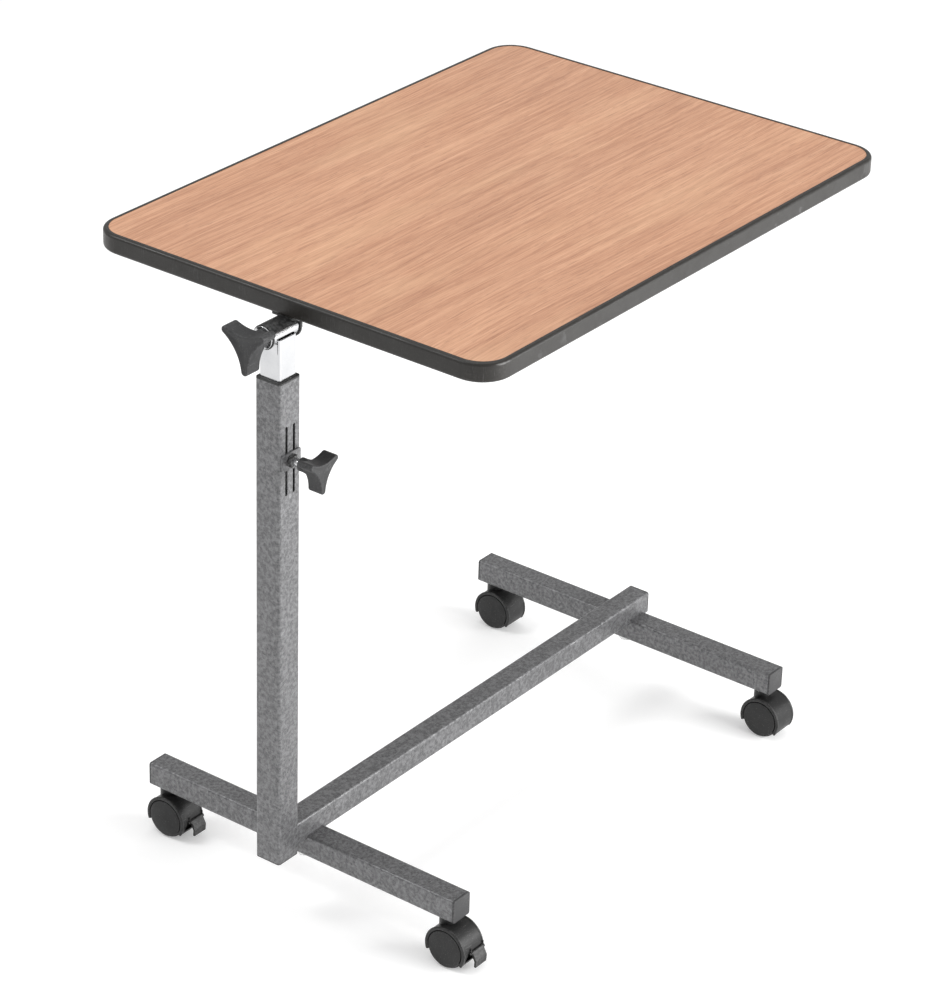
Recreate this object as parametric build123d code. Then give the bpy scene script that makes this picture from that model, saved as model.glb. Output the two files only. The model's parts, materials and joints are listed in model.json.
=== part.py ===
from build123d import *
import math
import os

# Rolling overbed table: H-shaped base on four swivel casters, square mast at
# the -X end, inner tube that slides up out of the mast, tilting tabletop.
# Millimetres. +Z is up and z = 0 is the floor. +X runs along the base from
# the mast to the far foot. x = 0 and y = 0 are the middle of the whole table.

os.makedirs("parts", exist_ok=True)

# ---------- tabletop ----------
top_length = 610.0
top_width = 440.0
top_thickness = 18.0
top_corner_radius = 30.0
top_height = 623.2
top_setback = 4.0
trim_width = 5.0
trim_rounding = 3.0
trim_proud = 0.3
trim_barb_depth = 7.0
trim_barb_height = 2.0
barb_clearance = 0.1
laminate_thickness = 0.9
backing_thickness = 0.8

# ---------- base frame ----------
frame_tube = 24.0
frame_wall = 1.5
frame_corner = 2.5
foot_length = 365.0
spine_sink = 5.0
near_foot_offset = 40.5
far_foot_offset = 555.5
spine_overhang = 8.2
cap_flange = 2.0
cap_plug_gap = 1.0
cap_wall = 2.0
bolt_radius = 4.0
bolt_clearance = 0.2
thread_clearance = 0.05
bolt_head_across = 13.0
bolt_head_height = 5.3
nut_height = 6.5

# ---------- mast ----------
mast_gap = 1.3
mast_wall = 1.2
mast_corner = 3.0
mast_overhang = 5.0
mast_top_drop = 44.0
mast_plug_flange = 1.5
bush_flange = 2.0
bush_depth = 18.0
inner_tube_size = 23.0
inner_tube_wall = 1.2
inner_tube_corner = 2.5
inner_tube_room = 93.0
slide_clearance = 0.1
glide_height = 20.0
glide_foot = 4.0
glide_wall = 2.0

# ---------- height lock ----------
lock_drop = 75.0
slot_length = 67.0
slot_width = 3.0
slot_spacing = 10.0
lock_plate_width = 25.0
lock_plate_height = 16.0
lock_plate_thickness = 1.5
lock_nut_across = 11.0
lock_nut_height = 4.0
lock_stud_bare = 6.5
lock_knob_radius = 20.8
lock_knob_thickness = 15.5
lock_knob_waist = 8.2
lock_knob_tip = 3.0
lock_hub_radius = 6.2
lock_hub_length = 11.0
lock_pad_radius = 3.8
lock_pad_thickness = 1.6
lock_pad_gap = 0.15

# ---------- tilt joint ----------
tilt_limit = 40.0
sleeve_inset = 0.5
sleeve_bore_gap = 0.5
sleeve_front_reach = 5.8
sleeve_back_reach = 5.3
tube_top_gap = 0.85
saddle_top_gap = 0.9
saddle_gap = 0.3
saddle_thickness = 1.2
saddle_half_angle = 62.0
cheek_thickness = 1.5
cheek_gap = 0.1
washer_lip = 0.6
washer_thickness = 1.4
tilt_knob_radius = 26.5
tilt_knob_thickness = 17.0
tilt_knob_waist = 10.5
tilt_knob_tip = 3.5
tilt_hub_radius = 8.0
tilt_hub_length = 8.6
knob_turn = 27.0
knob_rounding = 1.0
bracket_plate = 2.0
bracket_length = 430.0
bracket_width = 90.0
bracket_neck = 22.0
bracket_start = 5.5
bracket_flange_depth = 10.0
flange_start = 45.0
flange_end_gap = 8.0
screw_radius = 2.0
screw_depth = 13.0
screw_head_radius = 4.2
screw_head_height = 2.4
screw_rows = (70.0, 238.0, 406.0)
screw_spacing = 60.0

# ---------- casters ----------
wheel_radius = 20.0
wheel_inner = 4.6
wheel_outer = 14.8
wheel_dome = 0.9
wheel_edge = 1.2
axle_radius = 3.0
running_clearance = 0.05
axle_end_cover = 2.5
axle_end_gap = 0.4
caster_trail = 7.0
swivel_inset = 14.5
hood_clearance = 0.8
hood_skin = 1.2
wheel_proud = 0.8
hood_edge = 1.2
web_gap = 0.4
hood_front_angle = 32.0
hood_back_angle = 20.0
neck_radius = 8.5
neck_rise = 7.0
swivel_gap = 0.3
stem_radius = 4.0
stem_seat = 8.0
stem_end_gap = 2.3
socket_wall = 1.5
socket_roof = 2.0
socket_headroom = 1.5
socket_flange_radius = 9.0
socket_flange = 1.0

# ---------- wheel brake ----------
lever_low = -3.5
lever_edge_gap = 1.7
lever_side_gap = 0.3
ear_thickness = 1.3
lever_standoff = 2.6
lever_hub = 1.8
lever_pin_radius = 0.8
window_edge = 3.0
window_top = 2.4
window_bottom = -8.5

# ---------- sizes taken from the ones above ----------
mast_tube = inner_tube_size + 2 * (mast_wall + mast_gap)
sleeve_radius = inner_tube_size / 2 - inner_tube_wall - sleeve_inset
sleeve_bore = bolt_radius + sleeve_bore_gap
sleeve_front = inner_tube_size / 2 + sleeve_front_reach
sleeve_back = inner_tube_size / 2 + sleeve_back_reach
saddle_inside = sleeve_radius + saddle_gap
saddle_outside = saddle_inside + saddle_thickness
tilt_drop = saddle_outside + saddle_top_gap
tilted_end = math.radians(saddle_half_angle + tilt_limit - 90)
tube_top_drop = saddle_outside * math.sin(tilted_end) + tube_top_gap
cheek_front = -sleeve_front - cheek_gap - cheek_thickness
cheek_back = sleeve_back + cheek_gap + cheek_thickness
washer_back = cheek_front - cheek_gap
tilt_hub_start = washer_thickness - washer_back
tilt_knob_reach = tilt_hub_start + tilt_hub_length + tilt_knob_thickness
hood_radius = wheel_radius + hood_clearance + hood_skin
hood_half_width = wheel_outer - wheel_proud
web_half_width = wheel_inner - web_gap
axle_half_length = wheel_outer - axle_end_cover
lever_high = hood_half_width - lever_edge_gap
lever_pivot_radius = wheel_radius + lever_standoff
window_low = window_edge - hood_half_width
foot_clearance = wheel_radius + hood_radius + neck_rise
socket_radius = stem_radius + socket_wall
socket_length = frame_tube - frame_wall - socket_headroom
stem_length = stem_seat + swivel_gap + socket_flange + socket_length - socket_roof - stem_end_gap
cap_plug_length = swivel_inset - cap_flange - socket_radius - cap_plug_gap

# ---------- positions ----------
mast_x = (tilt_knob_reach - top_setback - top_length) / 2
near_foot_x = mast_x + near_foot_offset
far_foot_x = mast_x + far_foot_offset
foot_z = foot_clearance + frame_tube / 2
swivel_y = foot_length / 2 - swivel_inset
spine_bottom_z = foot_clearance + frame_tube - spine_sink
spine_z = spine_bottom_z + frame_tube / 2
spine_start = mast_x + mast_tube / 2
spine_end = far_foot_x + frame_tube / 2 + spine_overhang
top_bottom_z = top_height - top_thickness
top_x = mast_x + top_setback + top_length / 2
tilt_z = top_bottom_z - tilt_drop
mast_bottom_z = spine_bottom_z - mast_overhang
mast_top_z = tilt_z - mast_top_drop
inner_tube_bottom_z = mast_bottom_z + inner_tube_room
lock_z = mast_top_z - lock_drop
lock_y = -mast_tube / 2


def square_tube(size, wall, corner, length):
    outside = RectangleRounded(size, size, corner)
    bore = size - 2 * wall
    inside = RectangleRounded(bore, bore, max(corner - wall, 0.3))
    return extrude(outside - inside, amount=length)


def along_x(shape):
    return Rot(0, 90, 0) * shape


def along_y(shape):
    return Rot(-90, 0, 0) * shape


def rod(radius, low, high):
    bar = Cylinder(radius, high - low, align=(Align.CENTER, Align.CENTER, Align.MIN))
    return Pos(0, 0, low) * bar


def hex_bar(across, low, high):
    side = RegularPolygon(across / 2, 6, major_radius=False)
    bar = extrude(side, amount=high - low)
    return Pos(0, 0, low) * bar


def tube_cap(size, corner, wall, flange):
    plug_size = size - 2 * wall
    plug_corner = max(corner - wall, 0.3)
    plate = extrude(RectangleRounded(size, size, corner), amount=-flange)
    plate = fillet(plate.edges().group_by(Axis.Z)[0], min(flange, 1.2) * 0.6)
    plug = extrude(RectangleRounded(plug_size, plug_size, plug_corner), amount=cap_plug_length)
    hollow = plug_size - 2 * cap_wall
    core = extrude(RectangleRounded(hollow, hollow, 0.5), amount=cap_plug_length)
    return plate + (plug - core)


def lobed_outline(radius, waist, tip):
    tip_centre = radius - tip
    inset = waist - tip
    reach = (tip_centre**2 - inset**2) / (tip_centre - 2 * inset)
    corners = Sketch()
    for arm in range(3):
        corners += Rot(0, 0, arm * 120) * Pos(tip_centre, 0) * Circle(tip)
    outline = make_hull(corners.edges())
    for arm in range(3):
        outline -= Rot(0, 0, 60 + arm * 120) * Pos(reach, 0) * Circle(reach - waist)
    return outline


def lobed_knob(radius, waist, tip, thickness, hub_radius, hub_length):
    # Stands on z = 0 with its hub, front face up.
    front = hub_length + thickness
    lobes = extrude(lobed_outline(radius, waist, tip), amount=thickness)
    lobes = fillet(lobes.edges().group_by(Axis.Z)[-1], knob_rounding)
    lobes = fillet(lobes.edges().group_by(Axis.Z)[0], knob_rounding)
    knob = Pos(0, 0, hub_length) * lobes
    hub = rod(hub_radius, 0, hub_length + thickness / 2)
    hub = chamfer(hub.edges().group_by(Axis.Z)[0], 0.5)
    knob = knob + hub
    knob -= rod(bolt_radius, -1, hub_length)
    dish = Pos(0, 0, front + 40 - 0.5) * Sphere(40)
    return knob - dish


nodes = {}

# ---------- base frame ----------
mast = Pos(mast_x, 0, mast_bottom_z) * square_tube(
    mast_tube, mast_wall, mast_corner, mast_top_z - mast_bottom_z
)
slot_shape = SlotOverall(slot_length, slot_width)
for side in (-1, 1):
    slot = extrude(Rot(0, 0, 90) * slot_shape, amount=mast_wall * 3, both=True)
    slot = Rot(90, 0, 0) * slot
    mast -= Pos(mast_x + side * slot_spacing / 2, lock_y, lock_z) * slot
lock_hole = along_y(rod(bolt_radius + bolt_clearance, -5, 5))
mast -= Pos(mast_x, lock_y, lock_z) * lock_hole
nodes["mast_outer_tube"] = mast

bottom_plug = tube_cap(mast_tube, mast_corner, mast_wall, mast_plug_flange)
nodes["mast_bottom_plug"] = Pos(mast_x, 0, mast_bottom_z) * bottom_plug

bush_bore = inner_tube_size + 2 * slide_clearance
bush_body = mast_tube - 2 * mast_wall
flange_face = RectangleRounded(mast_tube, mast_tube, mast_corner)
bush = extrude(flange_face, amount=bush_flange)
bush = fillet(bush.edges().group_by(Axis.Z)[-1], 0.8)
skirt = RectangleRounded(bush_body, bush_body, mast_corner - mast_wall)
bush += extrude(skirt, amount=-bush_depth)
bore_face = RectangleRounded(bush_bore, bush_bore, inner_tube_corner)
bush -= Pos(0, 0, -bush_depth) * extrude(bore_face, amount=bush_depth + bush_flange)
nodes["mast_top_bush"] = Pos(mast_x, 0, mast_top_z) * bush

spine_length = spine_end - cap_flange - spine_start
spine = Pos(spine_start, 0, spine_z) * along_x(
    square_tube(frame_tube, frame_wall, frame_corner, spine_length)
)
bolt_hole = rod(bolt_radius + bolt_clearance, 0, spine_bottom_z + frame_wall + 1)
for foot_x in (near_foot_x, far_foot_x):
    spine -= Pos(foot_x, 0, 0) * bolt_hole
nodes["spine_tube"] = spine

frame_cap = tube_cap(frame_tube, frame_corner, frame_wall, cap_flange)
nodes["spine_end_plug"] = Pos(spine_end - cap_flange, 0, spine_z) * Rot(0, -90, 0) * frame_cap


def foot(foot_x):
    tube_length = foot_length - 2 * cap_flange
    tube = along_y(square_tube(frame_tube, frame_wall, frame_corner, tube_length))
    tube = Pos(foot_x, -tube_length / 2, foot_z) * tube
    notch = Box(frame_tube + 2, frame_tube, frame_tube)
    tube -= Pos(foot_x, 0, spine_z) * notch
    tube -= Pos(foot_x, 0, foot_clearance) * rod(bolt_radius + bolt_clearance, -2, 4)
    for side in (-1, 1):
        socket_hole = rod(socket_radius, -2, 4)
        tube -= Pos(foot_x, side * swivel_y, foot_clearance) * socket_hole
    return tube


nodes["near_foot_tube"] = foot(near_foot_x)
nodes["far_foot_tube"] = foot(far_foot_x)

caps = []
cap_y = foot_length / 2 - cap_flange
for foot_x in (near_foot_x, far_foot_x):
    caps.append(Pos(foot_x, cap_y, foot_z) * Rot(90, 0, 0) * frame_cap)
    caps.append(Pos(foot_x, -cap_y, foot_z) * Rot(-90, 0, 0) * frame_cap)
nodes["foot_end_caps"] = Compound(children=caps)

bolts = []
nuts = []
nut_floor = spine_bottom_z + frame_wall
for foot_x in (near_foot_x, far_foot_x):
    head = hex_bar(bolt_head_across, foot_clearance - bolt_head_height, foot_clearance)
    shank = rod(bolt_radius, foot_clearance - 1, nut_floor + nut_height + 2)
    bolts.append(Pos(foot_x, 0, 0) * (head + shank))
    nut = hex_bar(bolt_head_across, nut_floor, nut_floor + nut_height)
    nut -= rod(bolt_radius + thread_clearance, nut_floor - 1, nut_floor + nut_height + 1)
    nuts.append(Pos(foot_x, 0, 0) * nut)
nodes["foot_bolts"] = Compound(children=bolts)
nodes["spine_nuts"] = Compound(children=nuts)

sockets = []
for foot_x in (near_foot_x, far_foot_x):
    for side in (-1, 1):
        socket = rod(socket_radius, 0, socket_length)
        socket += rod(socket_flange_radius, -socket_flange, 0)
        socket -= rod(stem_radius + running_clearance, -5, socket_length - socket_roof)
        sockets.append(Pos(foot_x, side * swivel_y, foot_clearance) * socket)
nodes["caster_sockets"] = Compound(children=sockets)

# ---------- height lock ----------
# Drawn along +Z from the mast's face outwards, then turned to point along -Y.
lock_place = Pos(mast_x, lock_y, lock_z) * Rot(90, 0, 0)
lock_bore = rod(bolt_radius + bolt_clearance, -1, lock_plate_thickness + 1)
plate_face = RectangleRounded(lock_plate_width, lock_plate_height, 1.5)
lock_plate = extrude(plate_face, amount=lock_plate_thickness)
nodes["lock_nut_plate"] = lock_place * (lock_plate - lock_bore)

nut_top = lock_plate_thickness + lock_nut_height
lock_nut = hex_bar(lock_nut_across, lock_plate_thickness, nut_top)
lock_nut -= rod(bolt_radius + thread_clearance, 0, nut_top + 1)
nodes["lock_nut"] = lock_place * lock_nut

pad_face = -((mast_tube - inner_tube_size) / 2 - lock_pad_gap)
lock_pad = rod(lock_pad_radius, pad_face, pad_face + lock_pad_thickness)
nodes["lock_pad"] = lock_place * lock_pad

lock_hub_start = nut_top + lock_stud_bare
stud_end = lock_hub_start + lock_hub_length
nodes["lock_stud"] = lock_place * rod(bolt_radius, pad_face + lock_pad_thickness, stud_end)
lock_knob = lobed_knob(
    lock_knob_radius,
    lock_knob_waist,
    lock_knob_tip,
    lock_knob_thickness,
    lock_hub_radius,
    lock_hub_length,
)
nodes["lock_knob"] = lock_place * Pos(0, 0, lock_hub_start) * Rot(0, 0, knob_turn) * lock_knob

# ---------- sliding inner tube ----------
tilt_place = Pos(mast_x, 0, tilt_z)
inner_top_z = tilt_z - tube_top_drop
inner_tube = Pos(mast_x, 0, inner_tube_bottom_z) * square_tube(
    inner_tube_size, inner_tube_wall, inner_tube_corner, inner_top_z - inner_tube_bottom_z
)
inner_tube -= tilt_place * along_x(rod(sleeve_radius, -inner_tube_size, inner_tube_size))
nodes["inner_tube"] = inner_tube

sleeve = rod(sleeve_radius, -sleeve_front, sleeve_back)
sleeve = chamfer(sleeve.edges(), 0.3)
sleeve -= rod(sleeve_bore, -sleeve_front - 1, sleeve_back + 1)
nodes["tilt_sleeve"] = tilt_place * along_x(sleeve)

glide_size = mast_tube - 2 * mast_wall - 2 * slide_clearance
glide_plug = inner_tube_size - 2 * inner_tube_wall
glide_corner = mast_corner - mast_wall - slide_clearance
glide = extrude(RectangleRounded(glide_size, glide_size, glide_corner), amount=-glide_foot)
glide_upper = RectangleRounded(glide_plug, glide_plug, inner_tube_corner - inner_tube_wall)
glide += extrude(glide_upper, amount=glide_height)
glide_bore = glide_plug - 2 * glide_wall
glide -= extrude(Rectangle(glide_bore, glide_bore), amount=2 * glide_height, both=True)
nodes["inner_glide"] = Pos(mast_x, 0, inner_tube_bottom_z) * glide

# ---------- tilt bracket, drawn about the tilt axis ----------
shell = rod(saddle_outside, cheek_front, cheek_back)
shell -= rod(saddle_inside, -sleeve_front - cheek_gap, sleeve_back + cheek_gap)
half = math.radians(saddle_half_angle)
wedge_reach = 3 * saddle_outside
wedge_side = wedge_reach * math.tan(half)
wedge_face = Polygon((0, 0), (-wedge_reach, wedge_side), (-wedge_reach, -wedge_side), align=None)
wedge = extrude(wedge_face, amount=2 * sleeve_front + 20, both=True)
cheeks = rod(saddle_outside, cheek_front, -sleeve_front - cheek_gap)
cheeks += rod(saddle_outside, sleeve_back + cheek_gap, cheek_back)
saddle = (shell & wedge) + cheeks
saddle -= rod(bolt_radius + bolt_clearance, cheek_front - 1, cheek_back + 1)
saddle = along_x(saddle)

plate_low = tilt_drop - bracket_plate
half_width = bracket_width / 2
plate_outline = Polygon(
    (bracket_start, -bracket_neck / 2),
    (flange_start - 5, -half_width),
    (bracket_length, -half_width),
    (bracket_length, half_width),
    (flange_start - 5, half_width),
    (bracket_start, bracket_neck / 2),
    align=None,
)
plate = Pos(0, 0, plate_low) * extrude(plate_outline, amount=bracket_plate)
plate -= along_x(rod(saddle_inside, -sleeve_front, sleeve_back + cheek_gap))
flange_length = bracket_length - flange_end_gap - flange_start
flange_z = plate_low - bracket_flange_depth / 2
for side in (-1, 1):
    flange = Box(flange_length, bracket_plate, bracket_flange_depth)
    flange_y = side * (half_width - bracket_plate / 2)
    plate += Pos(flange_start + flange_length / 2, flange_y, flange_z) * flange
screw_spots = []
for row in screw_rows:
    for side in (-1, 1):
        screw_spots.append((row, side * screw_spacing / 2))
for spot_x, spot_y in screw_spots:
    plate -= Pos(spot_x, spot_y, plate_low) * rod(screw_radius + bolt_clearance, -1, 4)
nodes["tilt_bracket"] = tilt_place * (saddle + plate)

screws = []
for spot_x, spot_y in screw_spots:
    head = rod(screw_head_radius, -screw_head_height, 0)
    head = fillet(head.edges().group_by(Axis.Z)[0], 1.2)
    screw = head + rod(screw_radius, -0.5, bracket_plate + screw_depth)
    screw -= Pos(0, 0, -screw_head_height) * Box(4, 0.8, 2)
    screw -= Pos(0, 0, -screw_head_height) * Box(0.8, 4, 2)
    screws.append(tilt_place * Pos(spot_x, spot_y, plate_low) * screw)
nodes["bracket_screws"] = Compound(children=screws)

end_nut = hex_bar(bolt_head_across, cheek_back, cheek_back + nut_height)
end_nut -= rod(bolt_radius + thread_clearance, cheek_back - 1, cheek_back + nut_height + 1)
nodes["tilt_end_nut"] = tilt_place * along_x(end_nut)

# ---------- tilt knob ----------
washer_radius = sleeve_radius + washer_lip
washer = rod(washer_radius, washer_back - washer_thickness, washer_back)
washer = fillet(washer.edges().group_by(Axis.Z)[0], 0.5)
washer -= rod(bolt_radius + bolt_clearance, washer_back - washer_thickness - 1, washer_back + 1)
nodes["tilt_washer"] = tilt_place * along_x(washer)

stud_inside = -tilt_hub_start - tilt_hub_length
stud_tail = cheek_back + nut_height + 2
nodes["tilt_stud"] = tilt_place * along_x(rod(bolt_radius, stud_inside, stud_tail))
tilt_knob = lobed_knob(
    tilt_knob_radius,
    tilt_knob_waist,
    tilt_knob_tip,
    tilt_knob_thickness,
    tilt_hub_radius,
    tilt_hub_length,
)
tilt_knob = Pos(0, 0, tilt_hub_start) * Rot(0, 0, 90 - knob_turn) * tilt_knob
nodes["tilt_knob"] = tilt_place * Rot(0, -90, 0) * tilt_knob

# ---------- tabletop ----------
panel_length = top_length - 2 * trim_width
panel_width = top_width - 2 * trim_width
panel_corner = top_corner_radius - trim_width
panel_face = RectangleRounded(panel_length, panel_width, panel_corner)
top_face = RectangleRounded(top_length, top_width, top_corner_radius)
core_bottom = backing_thickness
core_top = top_thickness - trim_proud - laminate_thickness
barb_z = (core_bottom + core_top) / 2


def barb_ring(depth, height):
    inner_corner = panel_corner - depth
    inner = RectangleRounded(panel_length - 2 * depth, panel_width - 2 * depth, inner_corner)
    ring = extrude(panel_face - inner, amount=height / 2, both=True)
    return Pos(0, 0, barb_z) * ring


trim = extrude(top_face, amount=top_thickness)
trim = fillet(trim.edges().group_by(Axis.Z)[-1], trim_rounding)
trim = fillet(trim.edges().group_by(Axis.Z)[0], trim_rounding)
trim -= extrude(panel_face, amount=top_thickness)
trim += barb_ring(trim_barb_depth, trim_barb_height)
core = Pos(0, 0, core_bottom) * extrude(panel_face, amount=core_top - core_bottom)
core -= barb_ring(trim_barb_depth + barb_clearance, trim_barb_height + 2 * barb_clearance)
laminate = Pos(0, 0, core_top) * extrude(panel_face, amount=laminate_thickness)
backing = extrude(panel_face, amount=backing_thickness)
for spot_x, spot_y in screw_spots:
    hole = Pos(spot_x + mast_x - top_x, spot_y, 0) * rod(screw_radius, -1, screw_depth)
    core -= hole
    backing -= hole
top_place = Pos(top_x, 0, top_bottom_z)
nodes["tabletop_core"] = top_place * core
nodes["tabletop_laminate"] = top_place * laminate
nodes["tabletop_backing"] = top_place * backing
nodes["tabletop_edge_trim"] = top_place * trim

# ---------- casters, drawn about the axle, the wheel axis along X ----------
neck_top = foot_clearance - socket_flange - swivel_gap - wheel_radius
blind_end = axle_half_length + axle_end_gap


def caster_hood():
    outline = RectangleRounded(2 * hood_half_width, 2 * hood_radius, hood_edge)
    upper = Pos(0, hood_radius) * Rectangle(4 * hood_half_width, 2 * hood_radius)
    hood = revolve(outline & upper, Axis.X, 360)
    front = math.radians(hood_front_angle)
    back = math.radians(hood_back_angle)
    front_y = -hood_radius * math.cos(front)
    front_z = -hood_radius * math.sin(front)
    back_y = hood_radius * math.cos(back)
    back_z = -hood_radius * math.sin(back)
    run = back_y - front_y
    rise = back_z - front_z
    below = Polygon(
        (front_y - run, front_z - rise),
        (back_y + run, back_z + rise),
        (back_y + run, -4 * hood_radius),
        (front_y - run, -4 * hood_radius),
        align=None,
    )
    hood -= extrude(Plane.YZ * below, amount=2 * hood_half_width, both=True)
    hood += Pos(0, caster_trail, 0) * rod(neck_radius, 0, neck_top)
    well_radius = wheel_radius + hood_clearance
    for side in (-1, 1):
        well = rod(well_radius, web_half_width, 2 * hood_half_width)
        hood -= Rot(0, side * 90, 0) * well
    hood -= along_x(rod(axle_radius, -web_half_width - 1, web_half_width + 1))
    hood -= Pos(0, caster_trail, neck_top) * rod(stem_radius, -stem_seat, 1)
    return hood


def caster_wheel():
    bore = axle_radius + running_clearance
    rim = Polyline(
        (wheel_outer, wheel_radius - wheel_edge),
        (wheel_outer - wheel_edge, wheel_radius),
        (wheel_inner + 0.6, wheel_radius),
        (wheel_inner, wheel_radius - 0.6),
        (wheel_inner, wheel_radius - 3.2),
        (blind_end - 1.5, wheel_radius - 3.2),
        (blind_end - 1.5, axle_radius + 4),
        (wheel_inner, axle_radius + 4),
        (wheel_inner, bore),
        (blind_end, bore),
        (blind_end, 0),
        (wheel_outer + wheel_dome, 0),
    )
    dome_middle = (wheel_outer + wheel_dome * 0.75, wheel_radius / 2)
    dome_edge = (wheel_outer, wheel_radius - wheel_edge)
    dome = ThreePointArc((wheel_outer + wheel_dome, 0), dome_middle, dome_edge)
    profile = make_face(Curve() + [rim, dome])
    return revolve(profile, Axis.X, 360)


def lever_ears():
    ears = []
    for low in (lever_low - lever_side_gap - ear_thickness, lever_high + lever_side_gap):
        boss = Pos(-lever_pivot_radius, 0) * Circle(lever_hub)
        post = Pos(-lever_pivot_radius + 0.7, 2.5) * Rectangle(2 * lever_hub - 1.6, 5)
        ear = extrude(Plane.YZ * (boss + post), amount=ear_thickness)
        ears.append(Pos(low, 0, 0) * ear)
    return ears


def brake_lever():
    # Side view about the pivot: a short arm out, then the foot flap down.
    arm = Polygon(
        (0, lever_hub),
        (-1.6, 0.8),
        (-5.5, -6.6),
        (-5.5, -7.8),
        (-5.0, -13.9),
        (-3.0, -13.9),
        (-3.4, -8.0),
        (0, -lever_hub),
        align=None,
    )
    side = arm + Circle(lever_hub) - Circle(lever_pin_radius + running_clearance)
    side = Pos(-lever_pivot_radius, 0) * side
    lever = extrude(Plane.YZ * side, amount=lever_high - lever_low)
    return Pos(lever_low, 0, 0) * lever


wheel = caster_wheel()
plain_hood = caster_hood()
window = Box(lever_high + lever_side_gap - window_low, 10, window_top - window_bottom)
window_x = (lever_high + lever_side_gap + window_low) / 2
window_z = (window_top + window_bottom) / 2
braked_hood = plain_hood - Pos(window_x, -wheel_radius - 2.5, window_z) * window
for ear in lever_ears():
    braked_hood += ear
pin_low = lever_low - lever_side_gap - ear_thickness
pin_high = lever_high + lever_side_gap + ear_thickness
lever_pin = Pos(0, -lever_pivot_radius, 0) * along_x(rod(lever_pin_radius, pin_low, pin_high))
braked_hood -= lever_pin

caster_spots = {
    "near_right": (near_foot_x, -swivel_y, True),
    "near_left": (near_foot_x, swivel_y, True),
    "far_right": (far_foot_x, -swivel_y, False),
    "far_left": (far_foot_x, swivel_y, False),
}
for spot, (spot_x, spot_y, braked) in caster_spots.items():
    place = Pos(spot_x, spot_y - caster_trail, wheel_radius)
    name = "caster_" + spot
    nodes[name + "_hood"] = place * (braked_hood if braked else plain_hood)
    stem = Pos(0, caster_trail, neck_top - stem_seat) * rod(stem_radius, 0, stem_length)
    nodes[name + "_stem"] = place * stem
    nodes[name + "_axle"] = place * along_x(rod(axle_radius, -axle_half_length, axle_half_length))
    nodes[name + "_wheel_a"] = place * Rot(0, 0, 180) * wheel
    nodes[name + "_wheel_b"] = place * wheel
    if braked:
        nodes[name + "_lever"] = place * brake_lever()
        nodes[name + "_lever_pin"] = place * lever_pin

for name, shape in nodes.items():
    export_step(shape, "parts/" + name + ".step")
print(len(nodes), "parts written")
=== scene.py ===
import bmesh
import bpy
import json
import math
from mathutils import Matrix, Vector


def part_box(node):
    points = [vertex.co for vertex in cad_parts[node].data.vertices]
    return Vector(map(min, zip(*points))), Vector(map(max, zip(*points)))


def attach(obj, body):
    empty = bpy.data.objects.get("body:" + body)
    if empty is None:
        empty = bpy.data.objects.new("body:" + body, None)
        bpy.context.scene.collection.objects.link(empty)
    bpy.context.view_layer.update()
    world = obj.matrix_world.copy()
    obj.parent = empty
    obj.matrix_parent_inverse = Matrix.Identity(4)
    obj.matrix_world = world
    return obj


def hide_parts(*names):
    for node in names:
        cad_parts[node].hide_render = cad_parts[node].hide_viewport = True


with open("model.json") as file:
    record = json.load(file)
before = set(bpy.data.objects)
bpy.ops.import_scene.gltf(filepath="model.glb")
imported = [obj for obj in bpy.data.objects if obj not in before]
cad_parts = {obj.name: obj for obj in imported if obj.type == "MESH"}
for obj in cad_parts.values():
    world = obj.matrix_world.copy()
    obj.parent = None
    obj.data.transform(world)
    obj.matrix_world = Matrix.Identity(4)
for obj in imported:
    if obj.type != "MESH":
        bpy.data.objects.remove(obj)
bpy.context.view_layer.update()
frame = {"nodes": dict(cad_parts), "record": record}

# The looks of a rolling overbed table: wood-grain top with a dark edge, one
# hammertone mast with a chrome inner tube, an H-shaped base and four casters.

MM = 0.001
NODES = frame["nodes"]


# ---------- shader helpers ----------

# Where a Mix node keeps its colour sockets.
MIX_FACTOR, MIX_A, MIX_B, MIX_RESULT = 0, 6, 7, 2


def node(tree, kind, place=(0, 0), **values):
    made = tree.nodes.new(kind)
    made.location = place
    for name, value in values.items():
        setattr(made, name, value)
    return made


def link(tree, start, end):
    tree.links.new(start, end)


def new_group(name, inputs, outputs):
    tree = bpy.data.node_groups.new(name, "ShaderNodeTree")
    for label, kind, value in inputs:
        made = tree.interface.new_socket(label, in_out="INPUT", socket_type=kind)
        if value is not None:
            made.default_value = value
    for label, kind in outputs:
        tree.interface.new_socket(label, in_out="OUTPUT", socket_type=kind)
    start = node(tree, "NodeGroupInput", (-900, 0))
    end = node(tree, "NodeGroupOutput", (900, 0))
    return tree, start, end


def ramp(tree, source, stops):
    made = node(tree, "ShaderNodeValToRGB")
    made.color_ramp.interpolation = "LINEAR"
    while len(made.color_ramp.elements) < len(stops):
        made.color_ramp.elements.new(0.5)
    for element, (position, colour) in zip(made.color_ramp.elements, stops):
        element.position = position
        element.color = colour if len(colour) == 4 else (*colour, 1)
    link(tree, source, made.inputs["Fac"])
    return made.outputs["Color"]


def grey(value):
    return (value, value, value, 1)


def noise(tree, vector, scale, detail=3.0, roughness=0.55):
    made = node(tree, "ShaderNodeTexNoise")
    made.inputs["Scale"].default_value = scale
    made.inputs["Detail"].default_value = detail
    made.inputs["Roughness"].default_value = roughness
    link(tree, vector, made.inputs["Vector"])
    return made.outputs["Fac"]


def stretched(tree, vector, scale, turn=(0, 0, 0), shift=(0, 0, 0)):
    made = node(tree, "ShaderNodeMapping")
    made.inputs["Scale"].default_value = scale
    made.inputs["Rotation"].default_value = turn
    made.inputs["Location"].default_value = shift
    link(tree, vector, made.inputs["Vector"])
    return made.outputs["Vector"]


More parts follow.
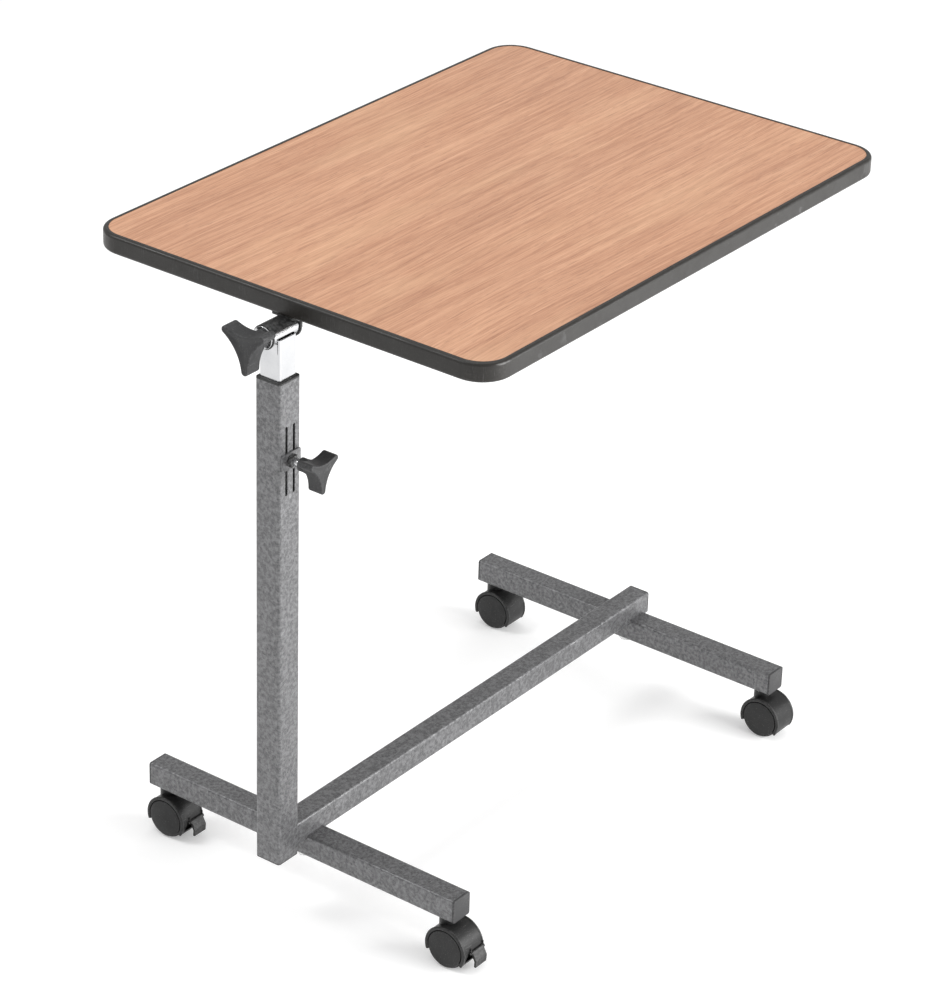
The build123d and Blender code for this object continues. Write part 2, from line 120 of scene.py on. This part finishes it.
def maths(tree, operation, first, second):
    made = node(tree, "ShaderNodeMath", operation=operation)
    for socket, value in zip(made.inputs, (first, second)):
        if isinstance(value, (int, float)):
            socket.default_value = value
        else:
            link(tree, value, socket)
    return made.outputs[0]


def blend_colour(tree, amount, first, second):
    made = node(tree, "ShaderNodeMix", data_type="RGBA", blend_type="MIX")
    sockets = (made.inputs[MIX_FACTOR], made.inputs[MIX_A], made.inputs[MIX_B])
    for socket, value in zip(sockets, (amount, first, second)):
        if isinstance(value, (int, float)):
            socket.default_value = value
        elif isinstance(value, tuple):
            socket.default_value = value if len(value) == 4 else (*value, 1)
        else:
            link(tree, value, socket)
    return made.outputs[MIX_RESULT]


# ---------- shared effects ----------

def handling_marks_group():
    """Fine scratches, smudges and settled dust that any finish picks up."""
    tree, start, end = new_group(
        "handling_marks",
        (
            ("Scratch Scale", "NodeSocketFloat", 60.0),
            ("Smudge Scale", "NodeSocketFloat", 18.0),
            ("Dust Scale", "NodeSocketFloat", 900.0),
        ),
        (
            ("Scratches", "NodeSocketFloat"),
            ("Smudges", "NodeSocketFloat"),
            ("Dust", "NodeSocketFloat"),
        ),
    )
    where = node(tree, "ShaderNodeTexCoord", (-900, -200)).outputs["Object"]
    masks = []
    for turn in (0.4, 1.9):
        lined = stretched(tree, where, (1, 26, 1), (turn, turn * 0.7, turn * 1.3))
        made = node(tree, "ShaderNodeTexNoise")
        made.inputs["Detail"].default_value = 2.0
        link(tree, start.outputs["Scratch Scale"], made.inputs["Scale"])
        link(tree, lined, made.inputs["Vector"])
        masks.append(ramp(tree, made.outputs["Fac"], ((0.665, grey(0)), (0.70, grey(1)))))
    both = maths(tree, "MAXIMUM", masks[0], masks[1])
    breaks = ramp(tree, noise(tree, where, 35.0), ((0.42, grey(0)), (0.6, grey(1))))
    link(tree, maths(tree, "MULTIPLY", both, breaks), end.inputs["Scratches"])
    smudge = node(tree, "ShaderNodeTexNoise")
    smudge.inputs["Detail"].default_value = 4.0
    smudge.inputs["Distortion"].default_value = 0.6
    link(tree, start.outputs["Smudge Scale"], smudge.inputs["Scale"])
    link(tree, where, smudge.inputs["Vector"])
    smudged = ramp(tree, smudge.outputs["Fac"], ((0.35, grey(0)), (0.7, grey(1))))
    link(tree, smudged, end.inputs["Smudges"])
    dust = node(tree, "ShaderNodeTexNoise")
    dust.inputs["Detail"].default_value = 1.0
    link(tree, start.outputs["Dust Scale"], dust.inputs["Scale"])
    link(tree, where, dust.inputs["Vector"])
    dusty = ramp(tree, dust.outputs["Fac"], ((0.66, grey(0)), (0.74, grey(1))))
    link(tree, dusty, end.inputs["Dust"])
    return tree


def edge_wear_group():
    """Paler rims where a corner has been rubbed."""
    tree, start, end = new_group(
        "edge_wear",
        (("Break Up", "NodeSocketFloat", 220.0), ("Amount", "NodeSocketFloat", 0.6)),
        (("Worn", "NodeSocketFloat"),),
    )
    where = node(tree, "ShaderNodeTexCoord", (-900, -200)).outputs["Object"]
    sharp = node(tree, "ShaderNodeNewGeometry", (-900, -400)).outputs["Pointiness"]
    rims = ramp(tree, sharp, ((0.515, grey(0)), (0.56, grey(1))))
    patches = node(tree, "ShaderNodeTexNoise")
    patches.inputs["Detail"].default_value = 5.0
    link(tree, start.outputs["Break Up"], patches.inputs["Scale"])
    link(tree, where, patches.inputs["Vector"])
    broken = ramp(tree, patches.outputs["Fac"], ((0.4, grey(0)), (0.62, grey(1))))
    worn = maths(tree, "MULTIPLY", rims, broken)
    link(tree, maths(tree, "MULTIPLY", worn, start.outputs["Amount"]), end.inputs["Worn"])
    return tree


def mould_grain_group():
    """The fine spark-eroded texture of moulded plastic, as a height."""
    tree, start, end = new_group(
        "mould_grain",
        (("Grain Scale", "NodeSocketFloat", 2600.0), ("Ripple Scale", "NodeSocketFloat", 160.0)),
        (("Height", "NodeSocketFloat"), ("Mottle", "NodeSocketFloat")),
    )
    where = node(tree, "ShaderNodeTexCoord", (-900, -200)).outputs["Object"]
    cells = node(tree, "ShaderNodeTexVoronoi", feature="SMOOTH_F1")
    link(tree, start.outputs["Grain Scale"], cells.inputs["Scale"])
    link(tree, where, cells.inputs["Vector"])
    ripple = node(tree, "ShaderNodeTexNoise")
    ripple.inputs["Detail"].default_value = 3.0
    link(tree, start.outputs["Ripple Scale"], ripple.inputs["Scale"])
    link(tree, where, ripple.inputs["Vector"])
    pits = maths(tree, "MULTIPLY", cells.outputs["Distance"], 0.5)
    both = maths(tree, "ADD", pits, ripple.outputs["Fac"])
    link(tree, both, end.inputs["Height"])
    link(tree, ripple.outputs["Fac"], end.inputs["Mottle"])
    return tree


MARKS = handling_marks_group()
WEAR = edge_wear_group()
GRAIN = mould_grain_group()


class Finish:
    """A material under construction: its tree, its shader and the shared effects placed in it."""

    def __init__(self, name):
        self.material = bpy.data.materials.new(name)
        self.material.use_nodes = True
        self.tree = self.material.node_tree
        self.shader = self.tree.nodes["Principled BSDF"]
        self.where = node(self.tree, "ShaderNodeTexCoord", (-1600, 0)).outputs["Object"]

    def place(self, group, **values):
        made = node(self.tree, "ShaderNodeGroup", (-1200, -400))
        made.node_tree = group
        for label, value in values.items():
            made.inputs[label.replace("_", " ")].default_value = value
        return made.outputs

    def set(self, **values):
        for label, value in values.items():
            socket = self.shader.inputs[label.replace("_", " ")]
            if isinstance(value, (int, float)):
                socket.default_value = value
            elif isinstance(value, tuple):
                socket.default_value = value if len(value) == 4 else (*value, 1)
            else:
                link(self.tree, value, socket)

    def relief(self, height, strength, distance):
        made = node(self.tree, "ShaderNodeBump", (-300, -500))
        made.inputs["Strength"].default_value = strength
        made.inputs["Distance"].default_value = distance
        link(self.tree, height, made.inputs["Height"])
        return made.outputs["Normal"]


# ---------- finishes ----------

def hammertone_paint():
    """Silver-grey hammertone enamel: fine pooled dimples, dark between bright crests."""
    made = Finish("hammertone_paint")
    tree = made.tree
    bent = noise(tree, made.where, 320.0, 2.0)
    warp = node(tree, "ShaderNodeVectorMath", operation="MULTIPLY_ADD")
    link(tree, bent, warp.inputs[0])
    warp.inputs[1].default_value = (0.004, 0.004, 0.004)
    link(tree, made.where, warp.inputs[2])
    cells = node(tree, "ShaderNodeTexVoronoi", feature="SMOOTH_F1")
    cells.inputs["Scale"].default_value = 620.0
    cells.inputs["Smoothness"].default_value = 0.7
    link(tree, warp.outputs[0], cells.inputs["Vector"])
    speckle = noise(tree, made.where, 1050.0, 3.0, 0.6)
    pits = maths(tree, "MULTIPLY", cells.outputs["Distance"], 0.7)
    dimples = maths(tree, "ADD", pits, maths(tree, "MULTIPLY", speckle, 0.5))
    pooled = ramp(tree, dimples, ((0.36, grey(0)), (0.72, grey(1))))
    cloudy = noise(tree, made.where, 55.0, 4.0)
    marks = made.place(MARKS, Scratch_Scale=45.0, Smudge_Scale=14.0)
    worn = made.place(WEAR, Break_Up=300.0, Amount=0.2)["Worn"]
    paint = blend_colour(tree, pooled, (0.066, 0.066, 0.068), (0.128, 0.128, 0.131))
    paint = blend_colour(tree, maths(tree, "MULTIPLY", cloudy, 0.25), paint, (0.102, 0.102, 0.106))
    paint = blend_colour(tree, worn, paint, (0.50, 0.50, 0.51))
    scratched = maths(tree, "MULTIPLY", marks["Scratches"], 0.25)
    paint = blend_colour(tree, scratched, paint, (0.42, 0.42, 0.43))
    gloss = maths(tree, "ADD", maths(tree, "MULTIPLY", marks["Smudges"], 0.12), 0.34)
    made.set(Base_Color=paint, Roughness=gloss, Metallic=0.5, Coat_Weight=0.25, Coat_Roughness=0.2)
    made.set(Normal=made.relief(pooled, 0.6, 0.00035))
    return made.material


def chrome_plate():
    made = Finish("chrome")
    tree = made.tree
    drawn = stretched(tree, made.where, (1, 1, 0.04))
    lines = noise(tree, drawn, 1800.0, 2.0)
    marks = made.place(MARKS, Scratch_Scale=80.0, Smudge_Scale=30.0)
    tint = blend_colour(tree, marks["Smudges"], (0.60, 0.603, 0.61), (0.53, 0.535, 0.545))
    rough = maths(tree, "MULTIPLY", marks["Smudges"], 0.10)
    rough = maths(tree, "ADD", maths(tree, "MULTIPLY", marks["Scratches"], 0.18), rough)
    rough = maths(tree, "ADD", rough, 0.11)
    made.set(Base_Color=tint, Metallic=1.0, Roughness=rough)
    made.set(Normal=made.relief(lines, 0.05, 0.0001))
    return made.material


def moulded_plastic(name, dark, light, rough, grain=2600.0, depth=0.25, dusty=0.15):
    made = Finish(name)
    tree = made.tree
    skin = made.place(GRAIN, Grain_Scale=grain)
    marks = made.place(MARKS, Scratch_Scale=70.0, Smudge_Scale=40.0)
    worn = made.place(WEAR, Break_Up=400.0, Amount=0.5)["Worn"]
    colour = blend_colour(tree, skin["Mottle"], dark, light)
    colour = blend_colour(tree, worn, colour, tuple(min(1.0, 3.2 * part + 0.03) for part in light))
    settled = maths(tree, "MULTIPLY", marks["Dust"], dusty)
    colour = blend_colour(tree, settled, colour, (0.35, 0.34, 0.33))
    scratched = maths(tree, "MULTIPLY", marks["Scratches"], 0.25)
    colour = blend_colour(tree, scratched, colour, (0.16, 0.16, 0.16))
    gloss = maths(tree, "ADD", maths(tree, "MULTIPLY", marks["Smudges"], 0.16), rough)
    made.set(Base_Color=colour, Roughness=gloss, Specular_IOR_Level=0.38)
    made.set(Normal=made.relief(skin["Height"], depth, 0.00012))
    return made.material


def steel(name, dark, light, rough):
    made = Finish(name)
    tree = made.tree
    spangle = node(tree, "ShaderNodeTexVoronoi")
    spangle.inputs["Scale"].default_value = 700.0
    link(tree, made.where, spangle.inputs["Vector"])
    marks = made.place(MARKS, Scratch_Scale=120.0, Smudge_Scale=60.0)
    worn = made.place(WEAR, Break_Up=500.0, Amount=0.7)["Worn"]
    colour = blend_colour(tree, spangle.outputs["Color"], dark, light)
    colour = blend_colour(tree, worn, colour, tuple(min(1.0, part + 0.25) for part in light))
    gloss = maths(tree, "ADD", maths(tree, "MULTIPLY", marks["Smudges"], 0.2), rough)
    made.set(Base_Color=colour, Roughness=gloss, Metallic=1.0)
    made.set(Normal=made.relief(noise(tree, made.where, 1500.0, 3.0), 0.12, 0.0001))
    return made.material


def oak_laminate():
    """Straight-grained oak print with a pink cast: soft bands, fine streaks, short dark pores."""
    made = Finish("wood_laminate")
    tree = made.tree
    sway = noise(tree, stretched(tree, made.where, (1.3, 4.0, 1.0)), 1.5, 2.0)
    bent = node(tree, "ShaderNodeVectorMath", operation="MULTIPLY_ADD")
    link(tree, sway, bent.inputs[0])
    bent.inputs[1].default_value = (0.0, 0.028, 0.0)
    link(tree, made.where, bent.inputs[2])
    along = bent.outputs[0]
    bands = noise(tree, stretched(tree, along, (1.2, 14.0, 1.0)), 2.0, 4.0, 0.6)
    streaks = noise(tree, stretched(tree, along, (2.2, 120.0, 1.0)), 2.4, 6.0, 0.62)
    fine = noise(tree, stretched(tree, along, (9.0, 420.0, 1.0)), 2.2, 4.0, 0.7)
    pores = noise(tree, stretched(tree, along, (26.0, 520.0, 1.0)), 2.4, 2.0, 0.5)
    patches = noise(tree, stretched(tree, along, (2.0, 9.0, 1.0), shift=(3.0, 1.0, 0.0)), 2.6, 3.0)
    wood = ramp(
        tree,
        bands,
        ((0.30, (0.410, 0.192, 0.106)), (0.48, (0.540, 0.272, 0.158)), (0.68, (0.648, 0.354, 0.207))),
    )
    light = ramp(
        tree,
        streaks,
        ((0.36, (0.324, 0.135, 0.072)), (0.50, (0.540, 0.272, 0.158)), (0.66, (0.756, 0.442, 0.276))),
    )
    wood = blend_colour(tree, 0.50, wood, light)
    hair = ramp(
        tree,
        fine,
        ((0.34, (0.302, 0.130, 0.069)), (0.5, (0.551, 0.281, 0.164)), (0.66, (0.799, 0.489, 0.308))),
    )
    wood = blend_colour(tree, 0.36, wood, hair)
    dark = ramp(tree, pores, ((0.58, grey(0)), (0.68, grey(1))))
    wood = blend_colour(tree, maths(tree, "MULTIPLY", dark, 0.38), wood, (0.216, 0.088, 0.048))
    pale = ramp(tree, patches, ((0.52, grey(0)), (0.72, grey(1))))
    wood = blend_colour(tree, maths(tree, "MULTIPLY", pale, 0.22), wood, (0.756, 0.478, 0.285))
    marks = made.place(MARKS, Scratch_Scale=22.0, Smudge_Scale=7.0)
    gloss = maths(tree, "ADD", maths(tree, "MULTIPLY", marks["Smudges"], 0.10), 0.36)
    gloss = maths(tree, "ADD", gloss, maths(tree, "MULTIPLY", marks["Scratches"], 0.08))
    made.set(Base_Color=wood, Roughness=gloss)
    height = maths(tree, "SUBTRACT", fine, maths(tree, "MULTIPLY", dark, 0.6))
    made.set(Normal=made.relief(height, 0.16, 0.00012))
    return made.material


def particle_board():
    made = Finish("core_board")
    tree = made.tree
    chips = node(tree, "ShaderNodeTexVoronoi")
    chips.inputs["Scale"].default_value = 420.0
    link(tree, stretched(tree, made.where, (1, 0.6, 2.4)), chips.inputs["Vector"])
    colour = ramp(
        tree,
        chips.outputs["Color"],
        ((0.2, (0.30, 0.20, 0.11)), (0.6, (0.52, 0.38, 0.23)), (0.9, (0.66, 0.52, 0.34))),
    )
    made.set(Base_Color=colour, Roughness=0.85)
    made.set(Normal=made.relief(chips.outputs["Distance"], 0.6, 0.0004))
    return made.material


def floor_paper():
    made = Finish("floor_paper")
    fibre = noise(made.tree, made.where, 900.0, 3.0)
    tone = ramp(made.tree, fibre, ((0.3, grey(0.90)), (0.7, grey(0.93))))
    made.set(Base_Color=tone, Roughness=0.9, Emission_Color=(1.0, 1.0, 1.0), Emission_Strength=0.2)
    return made.material


FINISHES = {
    "hammertone_paint": hammertone_paint(),
    "chrome": chrome_plate(),
    "black_plastic": moulded_plastic("black_plastic", grey(0.012), grey(0.03), 0.42),
    "cap_plastic": moulded_plastic("cap_plastic", (0.026, 0.026, 0.027), (0.040, 0.040, 0.041), 0.42),
    "knob_plastic": moulded_plastic("knob_plastic", (0.020, 0.020, 0.021), (0.034, 0.034, 0.035), 0.46),
    "caster_plastic": moulded_plastic("caster_plastic", grey(0.006), grey(0.012), 0.36),
    "wheel_plastic": moulded_plastic("wheel_plastic", grey(0.006), grey(0.013), 0.42),
    "edge_trim": moulded_plastic(
        "edge_trim", (0.013, 0.0115, 0.010), (0.022, 0.020, 0.0175), 0.33,
        grain=1500.0, depth=0.15, dusty=0.08,
    ),
    "backing_sheet": moulded_plastic(
        "backing_sheet", (0.10, 0.095, 0.09), (0.15, 0.14, 0.135), 0.6,
        grain=900.0, depth=0.3, dusty=0.3,
    ),
    "black_steel": moulded_plastic(
        "black_steel", grey(0.010), grey(0.022), 0.34, grain=1300.0, depth=0.22, dusty=0.1,
    ),
    "dark_steel": steel("dark_steel", grey(0.03), grey(0.09), 0.42),
    "zinc_steel": steel("zinc_steel", (0.48, 0.49, 0.50), (0.66, 0.66, 0.65), 0.32),
    "wood_laminate": oak_laminate(),
    "core_board": particle_board(),
}

SLOT_OF = {part["node"]: part["material_slot"] for part in frame["record"]["subparts"]}
for name, part in NODES.items():
    part.data.materials.clear()
    part.data.materials.append(FINISHES[SLOT_OF[name]])


# ---------- new pieces ----------

# Two corners closer than this are one point.
WELD_DISTANCE = 1e-6

# The three-lobed clamp knobs. A crease is the angle, in degrees, past which an edge looks sharp.
KNOB_ROUNDING = 1.3 * MM
KNOB_FRAME = 1.3 * MM
KNOB_DISH = 0.8 * MM
KNOB_BORE = 4.05 * MM
KNOB_ROOT = 2.0 * MM
HUB_CHAMFER = 0.6 * MM
KNOB_TURN = math.radians(27)
KNOB_SEGMENTS = 360
HUB_STEPS = 64
KNOB_CREASE = 40.0
TILT_KNOB = dict(radius=26.5 * MM, waist=10.5 * MM, tip=3.5 * MM, thickness=17.0 * MM, hub_radius=8.0 * MM)
LOCK_KNOB = dict(radius=20.8 * MM, waist=8.2 * MM, tip=3.0 * MM, thickness=15.5 * MM, hub_radius=6.2 * MM)

# The caster wheels.
WHEEL_BORE = 3.05 * MM
WHEEL_HUB = 7.0 * MM
WHEEL_WALL = 3.2 * MM
WHEEL_STEP = 1.5 * MM
WHEEL_STEPS = 96
WHEEL_CREASE = 38.0

# The rolled rim of a caster's hood: a section, in mm out from the hood's side and from the axle.
RIM_SECTION = (
    (-1.4, 19.1), (-1.4, 22.2), (-0.9, 22.5), (0.0, 22.5), (0.55, 22.2), (0.8, 21.6),
    (0.8, 20.1), (0.55, 19.4), (0.0, 19.1),
)
RIM_START = math.radians(-20)
RIM_SWEEP = math.radians(232)
RIM_STEPS = 72
RIM_CREASE = 50.0

# The weld round the spine's end.
BEAD_POINTS = 120
BEAD_CORNER = 1.32
BEAD_RADIUS = 0.9 * MM
BEAD_INSET = 0.2 * MM


def add_piece(name, work, body, slot, replaced, crease):
    """Turns a finished bmesh into a piece that stands for the named CAD nodes, if there are any."""
    bmesh.ops.recalc_face_normals(work, faces=work.faces)
    mesh = bpy.data.meshes.new(name)
    work.to_mesh(mesh)
    work.free()
    mesh.polygons.foreach_set("use_smooth", [True] * len(mesh.polygons))
    mesh.set_sharp_from_angle(angle=math.radians(crease))
    mesh.materials.append(FINISHES[slot])
    piece = bpy.data.objects.new(name, mesh)
    bpy.context.scene.collection.objects.link(piece)
    if replaced:
        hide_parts(*replaced)
    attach(piece, body)
    return piece


def spun(work, profile, axis, steps):
    """Spins a line of points, given in the XZ plane, a full turn about an axis through the origin."""
    points = [work.verts.new(point) for point in profile]
    edges = [work.edges.new(pair) for pair in zip(points, points[1:])]
    bmesh.ops.spin(
        work,
        geom=points + edges,
        cent=(0, 0, 0),
        axis=axis,
        angle=math.tau,
        steps=steps,
        use_merge=True,
    )
    bmesh.ops.remove_doubles(work, verts=work.verts, dist=WELD_DISTANCE)


def lobe_radius(angle, radius, waist, tip):
    """How far a three-lobed outline stands from its middle: round tips joined by hollow flanks."""
    centre = radius - tip
    inset = waist - tip
    reach = (centre**2 - inset**2) / (centre - 2 * inset)
    folded = abs((angle + math.pi / 3) % (2 * math.pi / 3) - math.pi / 3)
    flank = Vector((reach / 2, reach * math.sin(math.pi / 3)))
    middle = Vector((centre, 0))
    touch = middle + (flank - middle).normalized() * tip
    if folded <= math.atan2(touch.y, touch.x):
        return centre * math.cos(folded) + math.sqrt(tip**2 - (centre * math.sin(folded)) ** 2)
    aside = math.pi / 3 - folded
    hollow = reach - waist
    return reach * math.cos(aside) - math.sqrt(hollow**2 - (reach * math.sin(aside)) ** 2)


def clamp_knob(name, body, replaced, place, hub_length, radius, waist, tip, thickness, hub_radius):
    """A moulded three-lobed knob, standing on its hub's end along local +Z before it is placed."""
    work = bmesh.new()
    circle = bmesh.ops.create_circle(work, cap_ends=True, segments=KNOB_SEGMENTS, radius=1.0)
    for vert in circle["verts"]:
        angle = math.atan2(vert.co.y, vert.co.x)
        reach = lobe_radius(angle, radius, waist, tip)
        vert.co = (reach * math.cos(angle), reach * math.sin(angle), hub_length)
    raised = bmesh.ops.extrude_face_region(work, geom=work.faces[:])
    upper = [item for item in raised["geom"] if isinstance(item, bmesh.types.BMVert)]
    bmesh.ops.translate(work, verts=upper, vec=(0, 0, thickness))
    rims = [edge for edge in work.edges if abs(edge.verts[0].co.z - edge.verts[1].co.z) < WELD_DISTANCE]
    bmesh.ops.bevel(
        work,
        geom=rims,
        offset=KNOB_ROUNDING,
        segments=4,
        profile=0.5,
        affect="EDGES",
        material=-1,
    )
    front = max(work.faces, key=lambda face: face.calc_center_median().z * len(face.verts))
    bmesh.ops.inset_region(work, faces=[front], thickness=KNOB_FRAME)
    bmesh.ops.translate(work, verts=front.verts, vec=(0, 0, -KNOB_DISH * 0.4))
    poked = bmesh.ops.poke(work, faces=[front])
    bmesh.ops.translate(work, verts=poked["verts"], vec=(0, 0, -KNOB_DISH * 0.6))
    flare = [
        (KNOB_BORE, 0, 0),
        (hub_radius - HUB_CHAMFER, 0, 0),
        (hub_radius, 0, HUB_CHAMFER),
        (hub_radius, 0, hub_length * 0.45),
        (hub_radius + (waist - hub_radius) * 0.15, 0, hub_length * 0.72),
        (hub_radius + (waist - hub_radius) * 0.45, 0, hub_length * 0.92),
        (waist - KNOB_ROUNDING, 0, hub_length + KNOB_ROUNDING * 0.5),
        (waist - KNOB_ROUNDING - KNOB_ROOT, 0, hub_length + thickness * 0.4),
    ]
    hub = bmesh.new()
    spun(hub, flare, (0, 0, 1), HUB_STEPS)
    shell = bpy.data.meshes.new("hub")
    hub.to_mesh(shell)
    hub.free()
    work.from_mesh(shell)
    bpy.data.meshes.remove(shell)
    bmesh.ops.transform(work, matrix=place, verts=work.verts)
    add_piece(name, work, body, "knob_plastic", [replaced], KNOB_CREASE)


def middle_of(node_name):
    low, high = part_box(node_name)
    return (Vector(low) + Vector(high)) / 2


tilt_low, tilt_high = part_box("tilt_knob")
tilt_axis = middle_of("tilt_washer")
tilt_place = (
    Matrix.Translation((tilt_high[0], tilt_axis.y, tilt_axis.z))
    @ Matrix.Rotation(-math.pi / 2, 4, "Y")
    @ Matrix.Rotation(math.pi / 2 - KNOB_TURN, 4, "Z")
)
clamp_knob(
    "tilt_clamp_knob", "tilt_knob", "tilt_knob", tilt_place,
    hub_length=tilt_high[0] - tilt_low[0] - TILT_KNOB["thickness"], **TILT_KNOB,
)
lock_low, lock_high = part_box("lock_knob")
lock_axis = middle_of("lock_stud")
lock_place = (
    Matrix.Translation((lock_axis.x, lock_high[1], lock_axis.z))
    @ Matrix.Rotation(math.pi / 2, 4, "X")
    @ Matrix.Rotation(KNOB_TURN, 4, "Z")
)
clamp_knob(
    "height_clamp_knob", "lock_knob", "lock_knob", lock_place,
    hub_length=lock_high[1] - lock_low[1] - LOCK_KNOB["thickness"], **LOCK_KNOB,
)


def caster_wheel(name, side):
    """A wheel with a rounded tread and a slightly smaller, domed disc."""
    low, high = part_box(name)
    centre = middle_of(name)
    radius = (high[2] - low[2]) / 2
    inner = low[0] if side > 0 else high[0]
    width = abs(high[0] - low[0])
    recess = radius - WHEEL_WALL
    disc = radius - WHEEL_STEP
    profile = [
        (0.0, 0, WHEEL_BORE),
        (0.0, 0, WHEEL_HUB),
        (width * 0.5, 0, WHEEL_HUB),
        (width * 0.5, 0, recess),
        (0.0, 0, recess),
        (0.0, 0, radius - 0.9 * MM),
        (0.3 * MM, 0, radius - 0.3 * MM),
        (0.9 * MM, 0, radius),
        (width - 4.2 * MM, 0, radius),
        (width - 3.7 * MM, 0, radius - 0.2 * MM),
        (width - 3.4 * MM, 0, disc + 0.2 * MM),
        (width - 3.1 * MM, 0, disc),
        (width - 1.6 * MM, 0, disc),
        (width - 1.1 * MM, 0, disc - 0.25 * MM),
        (width - 0.9 * MM, 0, disc - 0.8 * MM),
        (width - 0.62 * MM, 0, radius * 0.75),
        (width - 0.34 * MM, 0, radius * 0.55),
        (width - 0.13 * MM, 0, radius * 0.32),
        (width - 0.02 * MM, 0, radius * 0.12),
        (width, 0, 0),
    ]
    work = bmesh.new()
    spun(work, [(side * x, y, z) for x, y, z in profile], (1, 0, 0), WHEEL_STEPS)
    bmesh.ops.translate(work, verts=work.verts, vec=(inner, centre.y, centre.z))
    add_piece(name + "_moulded", work, name, "wheel_plastic", [name], WHEEL_CREASE)


def hood_rims(corner):
    """The rolled rims on both sides of a caster's hood, one arc round each wheel disc."""
    hood = "caster_" + corner + "_hood"
    low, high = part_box(hood)
    axle = middle_of("caster_" + corner + "_axle")
    half = (high[0] - low[0]) / 2
    work = bmesh.new()
    for side in (-1, 1):
        points = []
        for across, out in RIM_SECTION:
            reach = out * MM
            spot = (side * (half + across * MM), reach * math.cos(RIM_START), reach * math.sin(RIM_START))
            points.append(work.verts.new(spot))
        face = work.faces.new(points)
        bmesh.ops.spin(
            work,
            geom=[face, *face.edges, *points],
            cent=(0, 0, 0),
            axis=(1, 0, 0),
            angle=RIM_SWEEP,
            steps=RIM_STEPS,
        )
    bmesh.ops.translate(work, verts=work.verts, vec=axle)
    add_piece("caster_" + corner + "_rims", work, "caster_" + corner, "caster_plastic", [], RIM_CREASE)


for corner in ("near_right", "near_left", "far_right", "far_left"):
    caster_wheel("caster_" + corner + "_wheel_a", -1)
    caster_wheel("caster_" + corner + "_wheel_b", 1)
    hood_rims(corner)


def weld_bead(name, centre, size, normal, radius):
    """A thin painted fillet weld that runs round a square tube's end, slightly uneven."""
    line = bpy.data.curves.new(name, "CURVE")
    line.dimensions = "3D"
    line.bevel_depth = radius
    line.bevel_resolution = 3
    spline = line.splines.new("POLY")
    spline.points.add(BEAD_POINTS - 1)
    spline.use_cyclic_u = True
    turned = Vector(normal).to_track_quat("Z", "Y")
    for index, point in enumerate(spline.points):
        angle = math.tau * index / BEAD_POINTS
        squared = 1 / max(abs(math.cos(angle)), abs(math.sin(angle)))
        reach = size / 2 * min(squared, BEAD_CORNER)
        spot = centre + turned @ Vector((reach * math.cos(angle), reach * math.sin(angle), 0))
        point.co = (*spot, 1)
        point.radius = 1.0 + 0.12 * math.sin(index * 1.7) + 0.08 * math.sin(index * 0.61)
    line.materials.append(FINISHES["hammertone_paint"])
    bead = bpy.data.objects.new(name, line)
    bpy.context.scene.collection.objects.link(bead)
    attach(bead, "base")


spine_low, spine_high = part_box("spine_tube")
spine_size = spine_high[2] - spine_low[2]
weld_bead(
    "weld_mast_to_spine",
    Vector((spine_low[0] + BEAD_INSET, 0, (spine_low[2] + spine_high[2]) / 2)),
    spine_size,
    (1, 0, 0),
    BEAD_RADIUS,
)


# ---------- the floor, the light and the camera ----------

# Half the floor's width, and how far it lies under the wheels so that the two never flicker.
FLOOR_REACH = 6.0
FLOOR_DROP = 0.2 * MM


def add_floor():
    grid = bmesh.new()
    bmesh.ops.create_grid(grid, x_segments=4, y_segments=4, size=FLOOR_REACH)
    mesh = bpy.data.meshes.new("floor")
    grid.to_mesh(mesh)
    grid.free()
    floor = bpy.data.objects.new("floor", mesh)
    bpy.context.scene.collection.objects.link(floor)
    floor.location.z = -FLOOR_DROP
    mesh.materials.append(floor_paper())


def add_light(name, place, aim, size, power):
    lamp = bpy.data.lights.new(name, "AREA")
    lamp.shape = "RECTANGLE"
    lamp.size, lamp.size_y = size
    lamp.energy = power
    made = bpy.data.objects.new(name, lamp)
    made.location = place
    made.rotation_euler = (Vector(aim) - Vector(place)).to_track_quat("-Z", "Y").to_euler()
    bpy.context.scene.collection.objects.link(made)


def add_camera():
    azimuth = math.radians(-53.41)
    elevation = math.radians(28.15)
    roll = math.radians(1.73)
    aim = Vector((-0.1188, -0.0865, 0.3882))
    distance = 3.2267
    back = Vector((
        math.sin(azimuth) * math.cos(elevation),
        -math.cos(azimuth) * math.cos(elevation),
        math.sin(elevation),
    ))
    level = Vector((math.cos(azimuth), math.sin(azimuth), 0))
    upright = level.cross(-back)
    right = level * math.cos(roll) + upright * math.sin(roll)
    up = upright * math.cos(roll) - level * math.sin(roll)
    lens = bpy.data.cameras.new("camera")
    lens.sensor_width = 36.0
    lens.lens = 128.95
    lens.clip_end = 50.0
    camera = bpy.data.objects.new("camera", lens)
    turned = Matrix((right, up, back)).transposed().to_4x4()
    camera.matrix_world = Matrix.Translation(aim + back * distance) @ turned
    bpy.context.scene.collection.objects.link(camera)
    bpy.context.scene.camera = camera


def set_world():
    world = bpy.data.worlds.new("studio")
    world.use_nodes = True
    world.node_tree.nodes["Background"].inputs["Color"].default_value = (1, 1, 1, 1)
    world.node_tree.nodes["Background"].inputs["Strength"].default_value = 0.60
    bpy.context.scene.world = world
    bpy.context.scene.view_settings.view_transform = "Standard"


add_floor()
set_world()
add_light("key", place=(0.9, -2.8, 1.1), aim=(0, 0, 0.35), size=(2.2, 1.5), power=120)
add_light("near_edges", place=(-1.45, 1.6, 2.4), aim=(-0.1, 0, 0.2), size=(0.8, 0.8), power=22)
add_light("overhead", place=(0.1, 0.3, 3.2), aim=(0, 0, 0.3), size=(2.6, 2.2), power=24)
add_camera()
